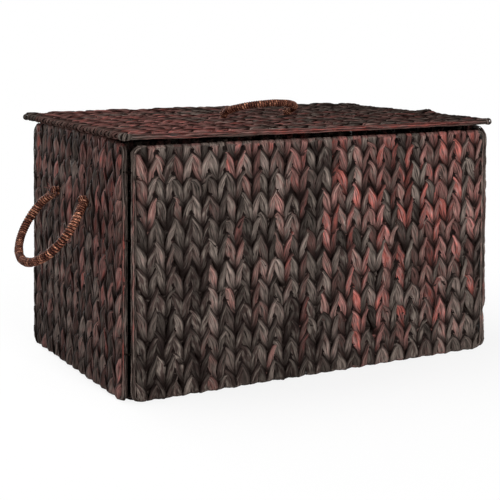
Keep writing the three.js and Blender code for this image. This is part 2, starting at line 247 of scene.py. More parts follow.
# Rope handles: half width, reach and centre of the loop's ellipse, radius, width of the string wound
# round it, depth in the panel, radius of the whippings, and width of the string in the knots.
SIDE_HANDLE = SimpleNamespace(
    loop=(0.080, 0.0645, 0.046), radius=0.0065, string=0.0041,
    depth=0.017, whipping=0.0074, knot_string=0.0034,
)
LID_HANDLE = SimpleNamespace(
    loop=(0.0575, 0.048, 0.012), radius=0.0054, string=0.0036,
    depth=0.016, whipping=0.0062, knot_string=0.0032,
)
SIDE_DROOP = 54
LID_LEAN = 73
LOOP_STEPS = 25
SPLINE_STEPS = 40
KNOT_RADIUS = 0.0042
WHIPPING_STRING = 0.0024

# A wound string's furrows take this share of the radius, and a rope swells by this share.
FURROW = 0.24
ROPE_SWELL = 0.030

# Sides of ropes, whippings and knots, and their stations: on each turn of a rope's string, on a
# whipping, which stops at this share of its radius, and on a knot.
ROPE_SIDES = 16
ROPE_STEPS = 6
WHIPPING_SIDES = 14
WHIPPING_STEPS = 49
WHIPPING_CUT = 0.94
KNOT_SIDES = 10
KNOT_STEPS = 120

# Frayed string at the feet: how many ends, how they spread and curl, their form and their colour.
FRAY_COUNT = 22
FRAY_STEPS = 7
FRAY_SPREAD = 0.75
FRAY_CURL = 0.35
FRAY_LENGTH = (0.005, 0.010)
FRAY_START = 0.0055
FRAY_RADIUS = 0.0008
FRAY_TAPER = 0.6
FRAY_TONE = (0.55, 0.95)
FRAY_SHADE = (0.7, 1.0)

# Lashings: bends round the walls' and the base's rods, radius of the cord, and length of its twist.
CORNER_TIE_BEND = 0.0026
BASE_TIE_BEND = 0.0036
CORD_RADIUS = 0.0006
CORD_APART = 0.9
CORD_TWIST = 0.0022
CORD_SIDES = 6
TIE_STEPS = 7

# Wraps on the lid's corners: the rod, the straight run at each end, one turn of the helix, the strip,
# its fibres and its colour.
WRAP_ROD = 0.0020
WRAP_RUN = 0.0042
WRAP_TURN = 0.0046
WRAP_RADIUS = 0.0024
WRAP_BULGE = 0.0022
WRAP_HALF_WIDTH = 0.0028
WRAP_STEPS = 76
WRAP_FIBRES = 5
WRAP_TONE = (0.14, 0.22)
WRAP_SHADE = (0.4, 0.6)

# Spread of the fibres' seeds, scale of the blotches, and depth of the bumps on leaves and strings.
FIBRE_SEEDS = 37.0
BLOTCH_SCALE = 1.3
LEAF_BUMP = 0.0007
STRING_BUMP = 0.0006

# Spot, target, size and power of each lamp, and the world's light on the object.
LAMPS = {
    "key": ((-0.1, -2.8, 0.95), (0, 0, 0.15), 0.7, 79),
    "fill": ((-2.7, -1.2, 0.8), (0, 0, 0.2), 1.5, 9),
    "top": ((-0.7, 0.3, 1.9), (0, 0, 0.3), 1.2, 24),
    "rear": ((-0.5, 3.0, 0.9), (0, 0, 0.15), 1.2, 60),
}
AMBIENCE = 0.07
FLOOR_HALF = 6.0
FLOOR_DROP = 0.0005


def length_prop(name, text, default):
    """A property that holds a length in metres."""
    return bpy.props.FloatProperty(
        name=name, description=text, default=default, unit="LENGTH", subtype="DISTANCE", precision=5
    )


def number_prop(name, text, default):
    """A property that holds a plain number."""
    return bpy.props.FloatProperty(name=name, description=text, default=default)


def colour_prop(name, text, default):
    """A property that holds a scene-linear colour."""
    return bpy.props.FloatVectorProperty(
        name=name, description=text, default=default, subtype="COLOR", size=3, min=0, max=1
    )


class WovenBoxWeave(bpy.types.PropertyGroup):
    """Sizes of the twined leaves."""

    row_pitch: length_prop("Row pitch", "From one row of leaves to the next", 0.0302)
    pair_pitch: length_prop("V pitch", "Width of one V, which is two columns of leaves", 0.0265)
    margin: length_prop("Edge margin", "Width kept for the strips along the side rods", 0.009)
    swing: length_prop("Swing", "How far a leaf leans to each side of its column", 0.0052)
    overlap: number_prop("Overlap", "How far a leaf reaches into the next rows, as a share of a row", 0.24)
    relief: length_prop("Relief", "From the panel's middle to the middle of a leaf", 0.0030)
    leaf_width: length_prop("Leaf width", "Width of a leaf at its middle", 0.0152)
    tuck_width: length_prop("Tuck width", "Width of a leaf where it turns inwards", 0.0088)
    leaf_thickness: length_prop("Leaf thickness", "Thickness of a folded leaf", 0.0033)
    crown: length_prop("Crown", "Rise of the end walls' top edge", 0.0085)
    lid_bow: length_prop("Lid bow", "How far the lid's front edge sags and its back edge rises", 0.0016)


class WovenBoxColours(bpy.types.PropertyGroup):
    """Colours of the leaves and ropes."""

    leaf_black: colour_prop("Charred leaf", "Darkest leaves", (0.024, 0.016, 0.014))
    leaf_olive: colour_prop("Olive leaf", "Greenish grey leaves", (0.066, 0.054, 0.046))
    leaf_grey: colour_prop("Grey leaf", "Most leaves", (0.084, 0.062, 0.054))
    leaf_brown: colour_prop("Brown leaf", "Reddish brown leaves", (0.094, 0.050, 0.043))
    leaf_rose: colour_prop("Rose leaf", "Pink and mauve leaves", (0.124, 0.058, 0.052))
    leaf_rust: colour_prop("Rust leaf", "Red leaves", (0.148, 0.044, 0.036))
    # The stain colour is partly a real dark stain, partly painted shade in the gaps and at the leaves'
    # tucked feet.
    stain_and_shade: colour_prop("Stain", "Dark stain in the gaps and on the leaves' edges", (0.0045, 0.0024, 0.0020))
    rope_dark: colour_prop("Dark string", "Darkest turns of the string", (0.016, 0.005, 0.004))
    rope_red: colour_prop("Red string", "Most turns of the string", (0.150, 0.050, 0.031))
    # Partly the string's copper colour, partly painted highlights on the brightest turns.
    rope_copper: colour_prop("Copper string", "Brightest turns of the string", (0.690, 0.345, 0.220))
    cord_dark: colour_prop("Dark lashing", "Dark side of the lashing cord", (0.006, 0.004, 0.0035))
    cord_light: colour_prop("Light lashing", "Light side of the lashing cord", (0.011, 0.0075, 0.006))
    wire: colour_prop("Wire", "Lacquered wire of the frames", (0.020, 0.019, 0.018))
    rust: colour_prop("Rust", "Worn spots on the wire", (0.09, 0.05, 0.035))


class WovenBoxView(bpy.types.PropertyGroup):
    """Place of the camera."""

    azimuth: number_prop("Azimuth", "Turn to the left of the front, degrees", -29.0182)
    pitch: number_prop("Pitch", "Height above level, degrees", 2.2562)
    roll: number_prop("Roll", "Turn about the line of sight, degrees", 0.2603)
    lens: number_prop("Lens", "Focal length in millimetres", 85.8946)
    distance: length_prop("Distance", "From the box's middle", 1.8702417)
    aside: length_prop("Aside", "Shift to the right", -0.012171)
    above: length_prop("Above", "Shift upwards", 0.2496477)
    middle: length_prop("Middle", "Height of the box's middle", 0.171)
    shift: number_prop("Shift", "Vertical lens shift", -0.34853)


def settings():
    """The scene's sizes and colours."""
    return bpy.context.scene.woven_box


class WovenBoxSettings(bpy.types.PropertyGroup):
    """All that a user may change."""

    weave: bpy.props.PointerProperty(type=WovenBoxWeave)
    colours: bpy.props.PointerProperty(type=WovenBoxColours)
    view: bpy.props.PointerProperty(type=WovenBoxView)


def steady(name):
    """A random generator that gives the same numbers each run, one for each name."""
    return np.random.default_rng(sum((i + 1) * ord(c) for i, c in enumerate(name)))


def unit(vectors):
    """The vectors scaled to length one."""
    return vectors / np.linalg.norm(vectors, axis=-1, keepdims=True)


def smooth_noise(rng, shape, steps):
    """Normal noise that changes slowly along the last axis: a running mean over a few steps, rescaled."""
    raw = rng.normal(size=shape[:-1] + (shape[-1] + steps - 1,))
    total = np.cumsum(np.concatenate([np.zeros(shape[:-1] + (1,)), raw], axis=-1), axis=-1)
    return (total[..., steps:] - total[..., :-steps]) / math.sqrt(steps)


def smooth_step(t):
    """A ramp from 0 to 1 with level ends: 3 * t^2 - 2 * t^3."""
    return t * t * (3 - 2 * t)


def node_box(node):
    """Lowest and highest corner of a CAD node, as arrays."""
    low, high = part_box(node)
    return np.array(low), np.array(high)


def body_of(name):
    """The body that a panel or its handle's holes belong to."""
    return "lid" if name == "lid" else "box"


def sweep(path, thick, widths, heights, profile, closed):
    """Carries a profile along many paths at once.

    path and thick are (S, N, 3): points, and the way the profile's height points. widths and
    heights are (S, N). profile is (M, 2), or (N, M, 2) where it changes along the path. A point is
    path + width * x * side + height * y * up, where side is the tangent crossed with thick, and up
    is side crossed with the tangent.
    """
    if closed:
        tangent = np.roll(path, -1, axis=1) - np.roll(path, 1, axis=1)
    else:
        tangent = np.gradient(path, axis=1)
    tangent = unit(tangent)
    side = unit(np.cross(tangent, thick))
    up = np.cross(side, tangent)
    x = widths[..., None, None] * profile[..., :1] * side[:, :, None, :]
    y = heights[..., None, None] * profile[..., 1:] * up[:, :, None, :]
    return path[:, :, None, :] + x + y


def oval(sides):
    """A round profile of unit radius, as (cos, sin) pairs."""
    angle = 2 * np.pi * np.arange(sides) / sides
    return np.stack([np.cos(angle), np.sin(angle)], axis=1)


def leaf_across(sides):
    """Places across a leaf for its UV map, from 1 at one edge to -1 at the other and back."""
    return np.cos(2 * np.pi * np.arange(sides + 1) / sides)


def each(rng, low, high, count):
    """A random number for each of several tubes."""
    return rng.uniform(low, high, size=(count, 1, 1))


def tube_mesh(name, grid, closed, uv_across, uv_along, values):
    """Makes one mesh from (S, N, M, 3) tubes, with end caps on open ones.

    uv_across is (M + 1,), uv_along is (S, N + 1) on closed tubes and (S, N) on open ones. values
    holds named (S, N, M) numbers for the points.
    """
    tubes, rings, sides = grid.shape[:3]
    spans = rings if closed else rings - 1
    s, i, j = np.meshgrid(np.arange(tubes), np.arange(spans), np.arange(sides), indexing="ij")
    near = (s * rings + i) * sides
    far = (s * rings + (i + 1) % rings) * sides
    turn = (j + 1) % sides
    quads = np.stack([near + j, near + turn, far + turn, far + j], axis=-1).reshape(-1, 4)
    across = np.stack([uv_across[j], uv_across[j + 1], uv_across[j + 1], uv_across[j]], axis=-1)
    along = np.stack([uv_along[s, i], uv_along[s, i], uv_along[s, i + 1], uv_along[s, i + 1]], axis=-1)
    uv = np.stack([across.reshape(-1), along.reshape(-1)], axis=1)
    loops = [quads.reshape(-1)]
    uvs = [uv]
    sizes = [np.full(len(quads), 4)]
    if not closed:
        first = (np.arange(tubes)[:, None] * rings) * sides + np.arange(sides)[::-1]
        last = (np.arange(tubes)[:, None] * rings + rings - 1) * sides + np.arange(sides)
        caps = np.concatenate([first, last])
        loops.append(caps.reshape(-1))
        uvs.append(np.zeros((caps.size, 2)))
        sizes.append(np.full(len(caps), sides))
    corner = np.concatenate(loops)
    size = np.concatenate(sizes)
    points = grid.reshape(-1, 3)
    mesh = bpy.data.meshes.new(name)
    mesh.vertices.add(len(points))
    mesh.vertices.foreach_set("co", points.astype(np.float32).reshape(-1))
    mesh.loops.add(len(corner))
    mesh.loops.foreach_set("vertex_index", corner.astype(np.int32))
    mesh.polygons.add(len(size))
    mesh.polygons.foreach_set("loop_start", (np.cumsum(size) - size).astype(np.int32))
    mesh.polygons.foreach_set("use_smooth", np.ones(len(size), dtype=bool))
    layer = mesh.uv_layers.new(name="strand")
    layer.data.foreach_set("uv", np.concatenate(uvs).astype(np.float32).reshape(-1))
    for key, numbers in values.items():
        attribute = mesh.attributes.new(key, "FLOAT", "POINT")
        spread = np.broadcast_to(numbers, grid.shape[:3]).astype(np.float32)
        attribute.data.foreach_set("value", spread.reshape(-1))
    mesh.update(calc_edges=True)
    return mesh


def add_piece(mesh, material, slot, body, *nodes):
    """Puts a finished mesh in the scene, on a body, in place of the CAD nodes that it stands for."""
    piece = bpy.data.objects.new(mesh.name, mesh)
    bpy.context.scene.collection.objects.link(piece)
    mesh.materials.append(material)
    if body:
        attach(piece, body)
    if nodes:
        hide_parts(*nodes)
    return piece


def panel_form(name):
    """Middle, width, strand length, half thickness, crown and axes of a panel, from the CAD mat."""
    low, high = node_box(name + "_weave")
    axes = np.array(PANEL_AXES[name], dtype=float)
    crown = settings().weave.crown if name in ("left", "right") else 0.0
    span = np.abs(axes @ (high - low))
    middle = (low + high) / 2
    middle[2] -= crown / 2
    return SimpleNamespace(
        middle=middle, width=span[0], length=span[1] - crown, rod=span[2] / 2, crown=crown, axes=axes
    )


def in_frame(points, name):
    """Panel coordinates (across, along, out) bent to the panel's form and turned into the shared frame.

    An end wall's strands are stretched so that their top follows the crown. With x from -1 to 1 across
    the wall, the crown falls with the fourth power of x towards the front and the eighth power towards
    the back. The lid's front edge sags and its back edge rises, both by a parabola along its length,
    and a fold stands up at its right end.
    """
    panel = panel_form(name)
    across, along, out = np.moveaxis(points, -1, 0)
    x = 2 * across / panel.width
    if panel.crown:
        power = np.where(across * panel.axes[0][1] < 0, 4, 8)
        rise = panel.crown * np.clip(1 - np.abs(x) ** power, 0, 1)
        along = along + rise * np.clip(along / panel.length + 0.5, 0, 1)
    if name == "lid":
        away = np.hypot(across - FOLD_PLACE, along + panel.length / 2)
        out = out + settings().weave.lid_bow * x * (1 - (2 * along / panel.length) ** 2)
        out = out + FOLD_RISE * np.exp(-(away / FOLD_REACH) ** 2)
    return np.stack([across, along, out], axis=-1) @ panel.axes + panel.middle


def round_rod(track, outward, angle, far):
    """Paths of strips round a flat rod, at an angle and a distance from its middle, and their way up."""
    thick = np.zeros(angle.shape + (3,))
    thick[..., :2] = np.cos(angle)[..., None] * outward
    thick[..., 2] = np.sin(angle)
    path = far[..., None] * thick
    path[..., :2] += track
    return path, thick


def strand_line(rows, row_height):
    """The loop that a column's strand follows, as numbers for its stations.

    With the phase p growing by half a turn each row, the strand is at sin p across, less a little
    sin 3p, and at cos q out, where q lags p a little, so a leaf shows at each row and stands out most
    above its middle. Its height is p / pi + overlap * sin p in rows on the way up, so it reaches past
    its row, and p / pi - overlap * sin p on the way down. Half circles over the end rods join the two.
    With u from -1 at a leaf's foot to 1 at its tip, it is as full as (1 - u^2) * (1 + u / 2).
    """
    weave = settings().weave
    phase = np.pi * np.arange(rows * LEAF_STEPS + 1) / LEAF_STEPS
    over = np.pi * np.arange(1, END_STEPS) / END_STEPS
    zero = np.zeros_like(over)
    one = np.ones_like(over)
    level = np.zeros_like(phase)
    lag = phase - LEAF_LAG * np.abs(np.cos(phase))
    at_row = phase / np.pi
    reach = weave.overlap * np.sin(phase)
    height = (at_row + reach - rows / 2) * row_height
    second_height = (at_row - reach - rows / 2) * row_height
    end_sign = -1.0 if rows % 2 else 1.0
    wave = WAVE_PEAK * (np.sin(phase) - WAVE_CREASE * np.sin(3 * phase))
    hook = weave.relief * np.sin(over)
    foot_to_tip = np.sin(phase) * np.where(np.cos(phase) < 0, -1.0, 1.0)
    swell = (1 - foot_to_tip ** 2) * (1 + foot_to_tip / 2) / SWELL_PEAK
    join = np.concatenate
    return SimpleNamespace(
        across=join([wave, zero, -wave[::-1], zero]),
        along=join([height, height[-1] + hook, second_height[::-1], height[0] - hook]),
        out=join([np.cos(lag), end_sign * np.cos(over), -np.cos(lag[::-1]), -np.cos(over)]),
        roll=TIP_ROLL * join([np.sin(phase), zero, -np.sin(phase[::-1]), zero]),
        pitch=join([level, np.sin(over), level, -np.sin(over)]),
        facing=join([swell, one, swell[::-1], one]),
        tip=0.5 + 0.5 * join([foot_to_tip, one, foot_to_tip[::-1], one]),
        hooked=join([level, one, level, one]),
        leaf=join([at_row, zero + rows + 0.5, 2 * rows + 1 - at_row[::-1], zero + 2 * rows + 1.5]),
        row=join([at_row, zero + rows, at_row[::-1] + 1, one]),
        going_down=join([level, zero, level + 1, zero]).astype(int),
    )


def leaf_tones(name, rng, centre, width, rows):
    """How red and how light the leaves are, as (columns, leaves).

    Noise that changes slowly along a column, noise of each leaf and the panel's own drift add up to
    m, and the redness is 0.5 * (1 + tanh(s * m)), where s is the slope.
    """
    run = smooth_noise(rng, (len(centre), rows + 3), steps=4)
    rise = np.arange(rows + 3) / rows - 0.5
    to_right, to_top, base = REDNESS[name]
    bias = base + to_right * centre[:, None] / width + to_top * rise
    mixed = COLUMN_SHARE * run + LEAF_SHARE * rng.normal(size=run.shape) + bias
    tone = 0.5 * (1 + np.tanh(TONE_SLOPE * mixed))
    shade = rng.uniform(0, 1, size=run.shape)
    if name == "front":
        middle, slope, most = FRONT_TONE
        tone *= np.clip(middle + slope * centre / width, 0, most)[:, None]
    if name in TONE_RANGE:
        least, span = TONE_RANGE[name]
        tone = least + span * tone
    if name == "lid":
        least, span, slope = LID_LIGHTNESS_AND_PAINTED_LIGHT
        # Painted light: the lid's leaves get their own lightness for the light on its top, rising towards
        # the left end as if more light fell there.
        shade = least + span * shade + slope * rise
        shade[:, [0, 1]] *= NEAR_END_SHADE
        shade[:, rows - 2:rows] *= NEAR_END_SHADE
        shade[:, rows:] *= END_SHADE
        least, span = END_TONE
        tone[:, rows:] = least + span * tone[:, rows:]
        grey = centre > width / 2 - GREY_CORNER
        tone[grey, rows:] = GREY_TONE
        shade[grey, rows:] = GREY_SHADE
    return tone, shade


def twined_panel(name):
    """The leaves of one panel.

    Each column is one loop: a strand goes up the column, over the top rod and down again, and
    its two halves twist round each other once every two rows. Leaves lean one way in one column
    and the other way in the next, as V shapes, and on the walls their faces roll to the same side.
    Where a leaf tucks in, it is narrow and thick. Leaves on the inside are wider, but narrower at the
    panel's ends, and none goes below the panel's lower edge or underside.
    """
    weave = settings().weave
    rng = steady(name)
    panel = panel_form(name)
    width, length, rod = panel.width, panel.length, panel.rod
    upright = name in WALLS
    rows = round((length - 2 * rod) / weave.row_pitch)
    columns = 2 * round((width - 2 * weave.margin) / weave.pair_pitch)
    column_pitch = (width - 2 * weave.margin) / columns
    centre = (np.arange(columns) + 0.5) * column_pitch - width / 2 + weave.margin
    centre = centre + rng.normal(size=columns) * COLUMN_DRIFT
    lean = np.where(np.arange(columns) % 2 == 0, -1.0, 1.0)[:, None]
    line = strand_line(rows, (length - 2 * rod) / rows)
    leaves = 2 * rows + 2
    lower = np.floor(line.leaf).astype(int) % leaves
    upper = (lower + 1) % leaves
    mix = smooth_step(line.leaf - np.floor(line.leaf))

    def per_leaf(numbers):
        return numbers[:, lower] * (1 - mix) + numbers[:, upper] * mix

    each_leaf = (columns, leaves)
    row_wave = smooth_noise(rng, (rows + 2, columns), steps=5).T * ROW_DRIFT
    row_of = np.clip(np.round((line.along / (length - 2 * rod) + 0.5) * rows).astype(int), 0, rows)
    calm = np.clip((0.5 - np.abs(line.along) / length) * EDGE_CALM, 0, 1)
    shift = per_leaf(rng.normal(size=each_leaf) * LEAF_DRIFT)
    turn = per_leaf(rng.uniform(*SWING_RANGE, size=each_leaf))
    slip = per_leaf(rng.normal(size=each_leaf) * LEAF_SLIP)
    lift = 1 + per_leaf(rng.uniform(*LIFT_RANGE, size=each_leaf))
    path = np.zeros((columns, len(line.along), 3))
    path[..., 0] = centre[:, None] + lean * weave.swing * line.across * turn + shift
    path[..., 1] = line.along + (row_wave[:, row_of] + slip) * calm
    path[..., 2] = weave.relief * line.out * lift
    thick = np.zeros_like(path)
    thick[..., 0] = lean * (line.roll + (WALL_ROLL if upright else 0.0) * line.out)
    thick[..., 1] = line.pitch
    thick[..., 2] = line.out

    tight = TIGHT[name]
    leaf_width = weave.leaf_width * (1 - TIGHT_WIDTH + TIGHT_WIDTH * tight)
    broad = weave.tuck_width * (1 - line.facing) + leaf_width * line.facing
    uneven = per_leaf(np.clip(rng.normal(size=each_leaf) * WIDTH_SPREAD, *WIDTH_RANGE))
    inner = 1 + (INNER_GAIN * calm - INNER_LOSS) * np.clip(-line.out, 0, 1)
    widths = broad / 2 * inner * (1 + uneven)
    growth = WALL_TUCK_GROWTH if upright else FLAT_TUCK_GROWTH
    heights = weave.leaf_thickness / 2 * (1 + growth * tight * (1 - line.facing))
    heights = np.broadcast_to(heights, widths.shape)
    if name == "lid":
        widths = widths * (1 - HOOK_NARROWS * line.hooked)
        heights = heights * (1 - HOOK_THINS * line.hooked)
        path[..., 2] *= LID_RELIEF - HOOK_SINKS * line.hooked
        path[-BACK_COLUMNS:, :, 2] *= BACK_RISE
        outermost = np.abs(centre) > width / 2 - LID_NOTCH
        path[outermost, :, 1] *= 1 - 2 * LID_NOTCH / length
    if not upright:
        path[..., 2] = np.maximum(path[..., 2], weave.leaf_thickness / 2 * UNDER_SHARE - rod)
    grid = sweep(path, thick, widths, heights, oval(LEAF_SIDES), True)
    limit = width / 2 - SIDE_SHARE * weave.margin
    grid[..., 0] = np.clip(grid[..., 0], -limit, limit)
    if upright:
        grid[..., 1] = np.maximum(grid[..., 1], -length / 2)
    else:
        grid[..., 2] = np.maximum(grid[..., 2], -rod)
    grid = in_frame(grid, name)

    tone, shade = leaf_tones(name, rng, centre, width, rows)
    first = 2 * np.floor(line.row / 2).astype(int) - line.going_down
    change = smooth_step(np.clip(((line.row % 2) / 2 - CHANGE_FROM) / CHANGE_OVER, 0, 1))
    leaf_before = np.clip(first, 0, rows + 2)
    leaf_after = np.clip(first + 2, 0, rows + 2)

    def per_front_leaf(numbers):
        return (numbers[:, leaf_before] * (1 - change) + numbers[:, leaf_after] * change)[:, :, None]

    values = {"tone": per_front_leaf(tone), "shade": per_front_leaf(shade), "tip": line.tip[None, :, None]}
    uv_along = np.concatenate([line.along, line.along[:1]])[None, :] + np.zeros((columns, 1))
    return tube_mesh(name + "_leaves", grid, True, leaf_across(LEAF_SIDES), uv_along, values)


def rod_path(width, length, rod):
    """A side rod from past its bottom bend, up the side, to past its top bend, as (N, 2)."""
    straight = length / 2 - rod - ROD_BEND
    quarter = ROD_BEND * np.pi / 2
    total = 2 * (straight + quarter + STRIP_RUN)
    distance = np.linspace(-total / 2, total / 2, STRIP_STEPS)
    past = np.clip(np.abs(distance) - straight, 0, quarter) / ROD_BEND
    run = np.clip(np.abs(distance) - straight - quarter, 0, None)
    x = width / 2 - rod - ROD_BEND + ROD_BEND * np.cos(past) - run
    y = np.sign(distance) * (np.minimum(np.abs(distance), straight) + ROD_BEND * np.sin(past))
    return np.stack([x, y], axis=1), distance


def edge_strips(name):
    """Thin strips laid along the two side rods of a panel.

    Each strip follows the rod at a small distance from its middle, at its own angle round it,
    and wavers a little.
    """
    rng = steady(name + "edge")
    panel = panel_form(name)
    width, length, rod = panel.width, panel.length, panel.rod
    if name == "lid":
        distance = np.linspace(LID_NOTCH - length / 2, length / 2 - LID_NOTCH, LID_STRIP_STEPS)
        track = np.stack([np.full_like(distance, width / 2 - rod), distance], axis=1)
    else:
        track, distance = rod_path(width, length, rod)
    count = len(STRIP_ANGLES)
    heading = np.gradient(track, axis=0)
    outward = unit(np.stack([heading[:, 1], -heading[:, 0]], axis=1))
    paths = []
    thicks = []
    for side in (-1, 1):
        waver = smooth_noise(rng, (count, len(track)), steps=9)
        angle = np.radians(STRIP_ANGLES)[:, None] + waver * STRIP_TURN
        far = STRIP_DISTANCE + smooth_noise(rng, (count, len(track)), steps=7) * STRIP_DRIFT
        far[1:3] += LOOSE_STRIPS.get(name, 0.0)
        path, thick = round_rod(track, outward, angle, far)
        paths.append(path * (side, 1, 1))
        thicks.append(thick * (side, 1, 1))
    path = np.concatenate(paths)
    thick = np.concatenate(thicks)
    widths = STRIP_HALF_WIDTH * (1 + STRIP_SWELL * smooth_noise(rng, path.shape[:2], steps=5))
    if name in LOOSE_STRIPS:
        widths[[first + strip for first in (0, count) for strip in WIDE_STRIPS]] *= LOOSE_WIDTH
    heights = np.full(path.shape[:2], STRIP_HALF_THICKNESS)
    grid = sweep(path, thick, widths, heights, oval(STRIP_SIDES), False)
    grid[..., 1] = np.maximum(grid[..., 1], -length / 2)
    grid = in_frame(grid, name)
    strip_tone = np.array(EDGE_TONES.get(name, WALL_EDGE_TONES)).reshape(-1)[:, None]
    drift = STRIP_TONE_DRIFT * smooth_noise(rng, path.shape[:2], steps=12)
    tone = np.clip(strip_tone + drift, 0, 1)
    inner = np.clip((length / 2 - np.abs(distance)) / END_STRIP_LENGTH, 0, 1)
    tone = tone * inner + np.minimum(tone, END_STRIP_TONE) * (1 - inner)
    shade = each(rng, *STRIP_SHADE, 2 * count) * STRIP_SHADES.get(name, 1.0)
    values = {"tone": tone[..., None], "shade": shade, "tip": 1.0}
    uv_along = np.broadcast_to(distance, (2 * count, len(distance)))
    mirrored = np.concatenate([grid[:count, :, ::-1], grid[count:]])
    return tube_mesh(name + "_edge_strips", mirrored, False, leaf_across(STRIP_SIDES), uv_along, values)


def new_material(name):
    """A node material, its tree and its Principled shader."""
    material = bpy.data.materials.new(name)
    material.use_nodes = True
    tree = material.node_tree
    return material, tree, tree.nodes["Principled BSDF"]


def set_inputs(tree, node, inputs):
    """Sets or links a node's inputs, by name or number."""
    for key, value in inputs.items():
        if isinstance(value, bpy.types.NodeSocket):
            tree.links.new(value, node.inputs[key])
        else:
            node.inputs[key].default_value = value


def add_node(tree, kind, inputs, **options):
    """Adds a node with the given options and inputs."""
    node = tree.nodes.new(kind)
    for key, value in options.items():
        setattr(node, key, value)
    set_inputs(tree, node, inputs)
    return node


def value_of(tree, operation, *inputs):
    """Result of a Math node on the inputs in order."""
    return add_node(tree, "ShaderNodeMath", dict(enumerate(inputs)), operation=operation).outputs[0]


def remap(tree, value, from_low, from_high, to_low, to_high):
    """A value taken from one range to another and kept inside it."""
    ends = {"From Min": from_low, "From Max": from_high, "To Min": to_low, "To Max": to_high}
    return add_node(tree, "ShaderNodeMapRange", {"Value": value, **ends}).outputs[0]


def attribute(tree, name):
    """A number that the mesh holds at each point."""
    return add_node(tree, "ShaderNodeAttribute", {}, attribute_name=name).outputs["Fac"]


def strand_uv(tree):
    """Places across and along a strand, from the UV map."""
    uv = add_node(tree, "ShaderNodeUVMap", {}, uv_map="strand")
    split = add_node(tree, "ShaderNodeSeparateXYZ", {"Vector": uv.outputs[0]})
    return split.outputs["X"], split.outputs["Y"]


def scaled(tree, colour, light):
    """A colour times a number."""
    return add_node(tree, "ShaderNodeVectorMath", {0: colour, "Scale": light}, operation="SCALE").outputs[0]


def add_ramp(tree, factor, stops):
    """A colour ramp with the given (place, colour) stops."""
    node = add_node(tree, "ShaderNodeValToRGB", {"Fac": factor})
    ramp = node.color_ramp
    while len(ramp.elements) < len(stops):
        ramp.elements.new(0.5)
    for element, (spot, colour) in zip(ramp.elements, stops):
        element.position = spot
        element.color = tuple(colour) + (1.0,)
    return node.outputs["Color"]


def fibre_group():
    """Fine lengthwise fibres and wide blotches: noise stretched along a strand."""
    found = bpy.data.node_groups.get("strand fibres")
    if found:
        return found
    tree = bpy.data.node_groups.new("strand fibres", "ShaderNodeTree")
    inputs = {"Across": 0.0, "Along": 0.0, "Seed": 0.0, "Across scale": 4.5, "Along scale": 60.0}
    for name, default in inputs.items():
        socket = tree.interface.new_socket(name=name, in_out="INPUT", socket_type="NodeSocketFloat")
        socket.default_value = default
    for name in ("Fibre", "Blotch"):
        tree.interface.new_socket(name=name, in_out="OUTPUT", socket_type="NodeSocketFloat")
    source = tree.nodes.new("NodeGroupInput").outputs
    result = tree.nodes.new("NodeGroupOutput").inputs
    fine = value_of(tree, "MULTIPLY", source["Across"], source["Across scale"])
    wide = value_of(tree, "MULTIPLY", source["Across"], BLOTCH_SCALE)
    along = value_of(tree, "MULTIPLY", source["Along"], source["Along scale"])
    for name, across, scale, detail in (("Fibre", fine, 1.0, 4.0), ("Blotch", wide, BLOTCH_SCALE, 2.0)):
        spot = add_node(tree, "ShaderNodeCombineXYZ", {"X": across, "Y": along, "Z": source["Seed"]})
        inputs = {"Vector": spot.outputs[0], "Scale": scale, "Detail": detail}
        noise = add_node(tree, "ShaderNodeTexNoise", inputs)
        tree.links.new(noise.outputs["Fac"], result[name])
    return tree


def leaf_stops():
    """Colours from charred leaves to rust ones, by how many leaves have them."""
    colours = settings().colours
    return [
        (0.00, colours.leaf_black), (0.15, colours.leaf_olive), (0.45, colours.leaf_grey),
        (0.68, colours.leaf_brown), (0.86, colours.leaf_rose), (0.97, colours.leaf_rust),
    ]


